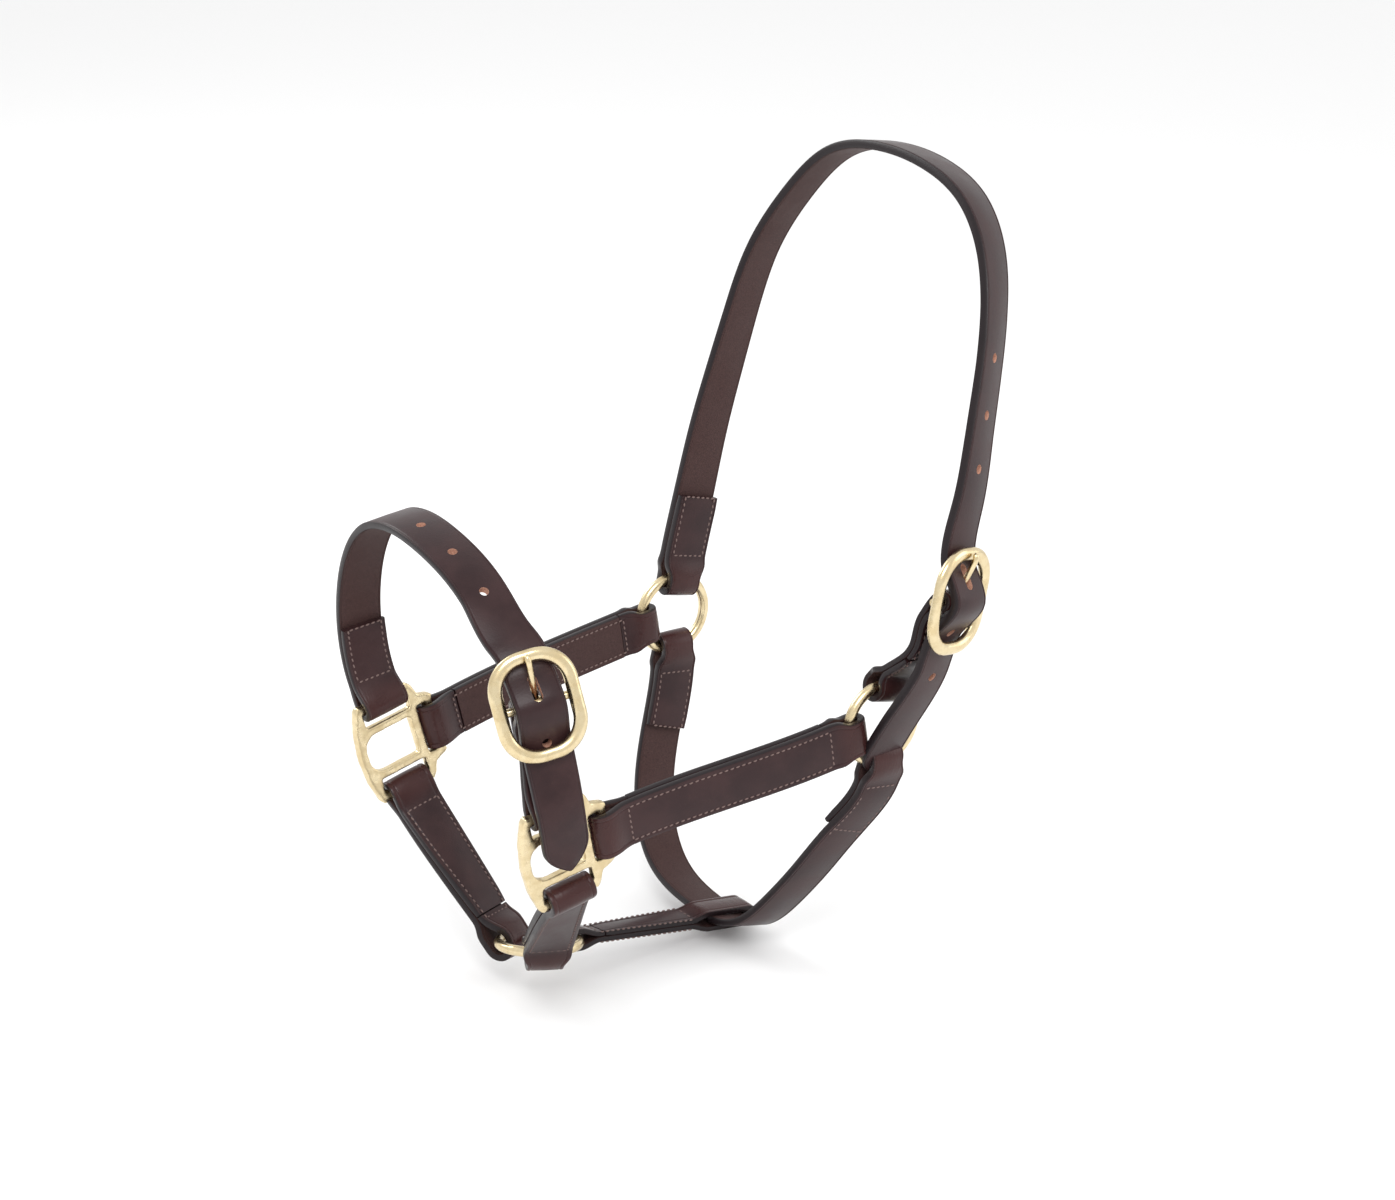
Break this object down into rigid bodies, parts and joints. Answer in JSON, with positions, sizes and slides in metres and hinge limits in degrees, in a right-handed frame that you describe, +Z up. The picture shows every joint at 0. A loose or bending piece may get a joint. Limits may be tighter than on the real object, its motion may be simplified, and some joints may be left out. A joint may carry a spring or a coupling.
{
  "type": "horse headcollar",
  "caption": "Dark leather headcollar with brass squares, rings and buckles, closing on the near side at the crown and the noseband.",
  "frame": {"origin": "underside of the crown strap at its highest point, where the headcollar rests on the poll", "axes": "+Z up, +X back towards the ears and neck, -Y the near (left) side where it buckles"},
  "size_m": [0.2906, 0.2376, 0.4037],
  "materials": {
    "brass": "satin cast and drawn brass",
    "strap_leather": "waxed dark brown leather, fine grain, soft gloss",
    "lining_leather": "flesh side, matt dark brown"
  },
  "bodies": {
    "crown": {"crown_strap": "strap_leather", "crown_chape": "strap_leather", "crown_buckle_frame": "brass"},
    "front": {"off_square": "brass", "near_square": "brass", "off_cheek": "strap_leather", "off_cheek_backing": "lining_leather", "near_cheek": "strap_leather", "near_cheek_backing": "lining_leather", "nose_strap": "strap_leather", "nose_chape": "strap_leather", "nose_buckle_frame": "brass", "off_chin_strap": "strap_leather", "near_chin_strap": "strap_leather", "throat_strap": "strap_leather"},
    "off_ring": {"off_ring": "brass"},
    "near_ring": {"near_ring": "brass"},
    "chin_ring": {"chin_ring": "brass"},
    "jaw": {"jaw_strap": "strap_leather"},
    "nose_tongue": {"nose_buckle_tongue": "brass"},
    "crown_tongue": {"crown_buckle_tongue": "brass"}
  },
  "joints": [
    {"name": "crown_swing", "type": "hinge", "parent": "crown", "child": "front", "pos_m": [-0.06781, 0, -0.25651], "axis": [0, 1, 0], "range_deg": [-40, 25]},
    {"name": "off_ring_spin", "type": "hinge", "parent": "front", "child": "off_ring", "pos_m": [-0.06781, 0.091, -0.25651], "axis": [0, 1, 0], "continuous": true},
    {"name": "near_ring_spin", "type": "hinge", "parent": "front", "child": "near_ring", "pos_m": [-0.06781, -0.091, -0.25651], "axis": [0, 1, 0], "continuous": true},
    {"name": "chin_ring_spin", "type": "hinge", "parent": "front", "child": "chin_ring", "pos_m": [-0.20931, 0, -0.37301], "axis": [0.1267, 0.1722, 0.9769], "continuous": true},
    {"name": "jaw_swing", "type": "hinge", "parent": "front", "child": "jaw", "pos_m": [-0.20931, 0, -0.37301], "axis": [0.1267, 0.1722, 0.9769], "range_deg": [-2, 2]},
    {"name": "nose_tongue_lift", "type": "hinge", "parent": "front", "child": "nose_tongue", "pos_m": [-0.25615, -0.07913, -0.20721], "axis": [0.9506, -0.25, 0.1842], "range_deg": [0, 10]},
    {"name": "crown_tongue_lift", "type": "hinge", "parent": "crown", "child": "crown_tongue", "pos_m": [-0.05264, -0.126, -0.1851], "axis": [0.9403, 0.2756, -0.1999], "range_deg": [0, 10]}
  ]
}
